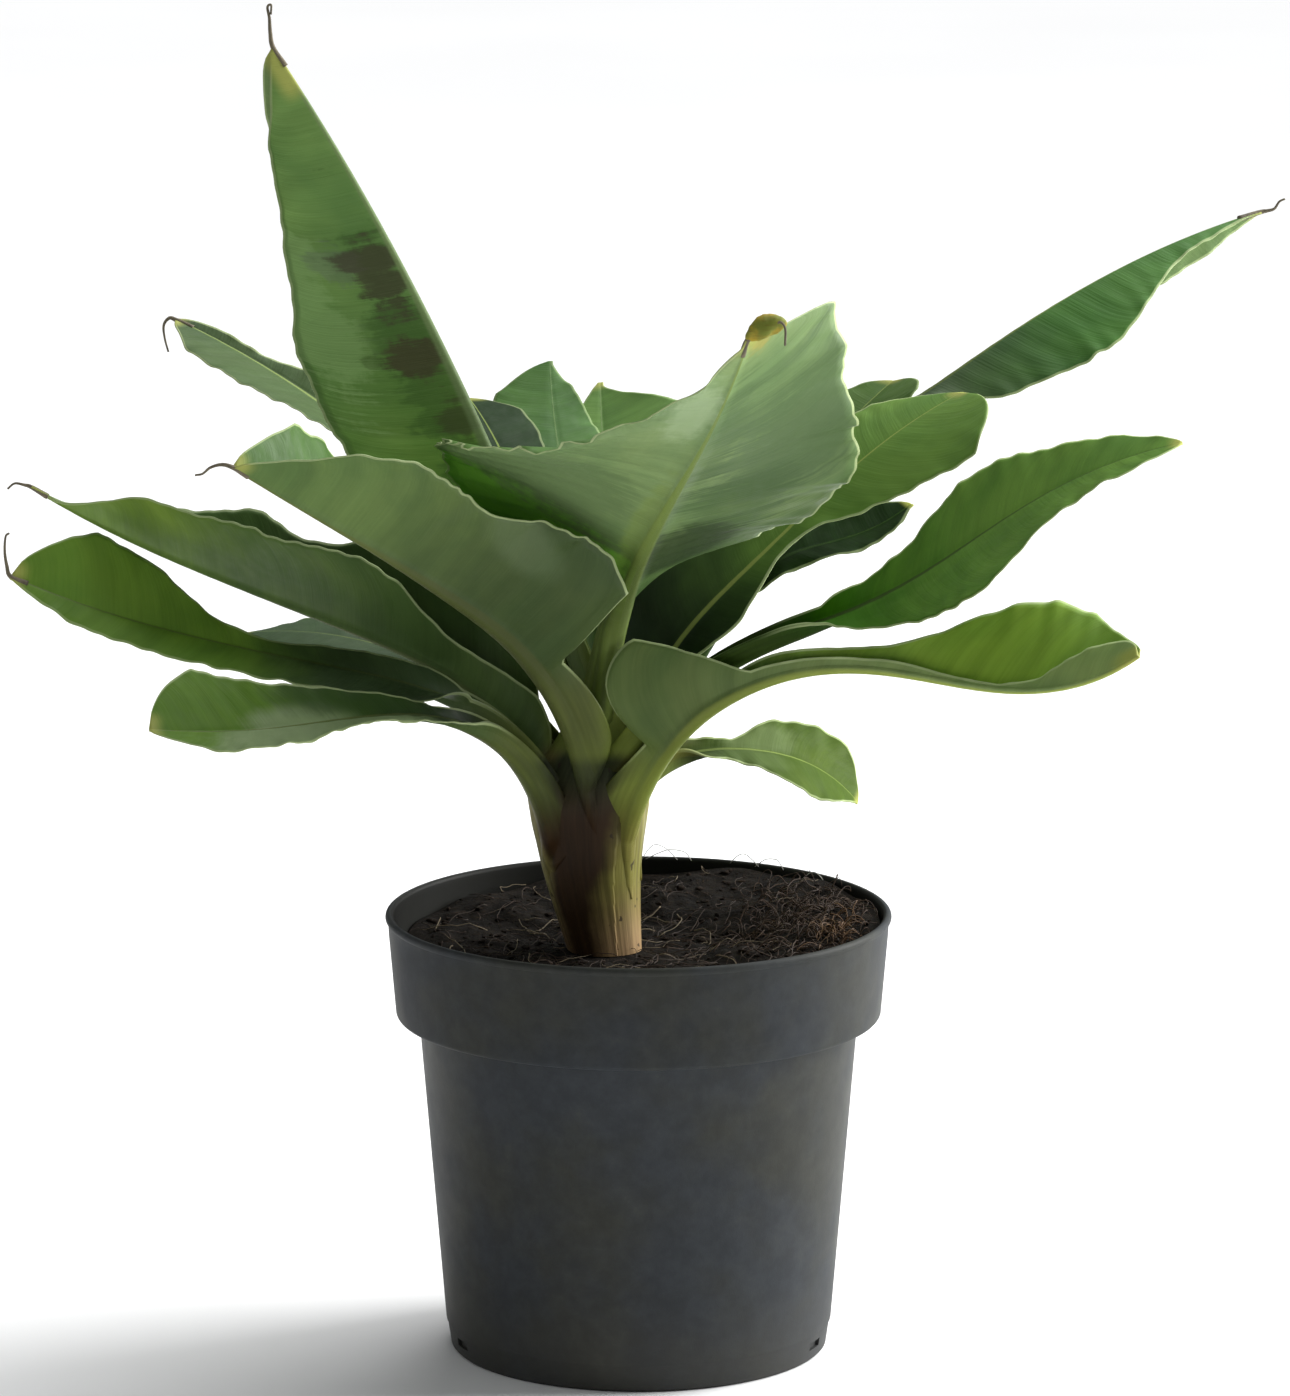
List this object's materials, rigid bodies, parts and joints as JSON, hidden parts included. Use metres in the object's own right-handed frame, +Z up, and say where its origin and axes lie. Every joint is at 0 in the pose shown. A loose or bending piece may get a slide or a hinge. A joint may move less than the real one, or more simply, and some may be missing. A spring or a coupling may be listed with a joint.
{
  "type": "potted banana plant",
  "caption": "Young banana plant with broad arching leaves on a short pseudostem, rooted in soil in a round tapered nursery pot with a deep collar.",
  "frame": {"origin": "middle of the pot's flat underside, on the surface that it stands on", "axes": "+Z up; +X to the right and +Y away, as the picture is taken"},
  "size_m": [0.3561, 0.2909, 0.3744],
  "materials": {
    "pot": "matte dark grey moulded plastic, slightly bluish, scuffed",
    "soil": "loose dark brown peat with coarse pale coir fibres",
    "stem": "smooth overlapping leaf sheaths, yellow-green to dark maroon-brown",
    "leaf": "thin waxy green leaf, paler underneath, with a pale midrib and edge"
  },
  "bodies": {
    "root": {"pot": "pot", "soil": "soil", "pseudostem": "stem", "leaf_tall_left": "leaf", "leaf_front_centre": "leaf", "leaf_front_left": "leaf", "leaf_left_middle": "leaf", "leaf_left_low": "leaf", "leaf_left_lowest": "leaf", "leaf_left_far": "leaf", "leaf_left_tucked": "leaf", "leaf_right_high": "leaf", "leaf_right_middle": "leaf", "leaf_right_tucked": "leaf", "leaf_right_long": "leaf", "leaf_right_low": "leaf", "leaf_right_drooping": "leaf", "leaf_back_left": "leaf", "leaf_back_right": "leaf", "leaf_back_outer_left": "leaf", "leaf_back_outer_right": "leaf", "leaf_back_low": "leaf"}
  },
  "joints": []
}
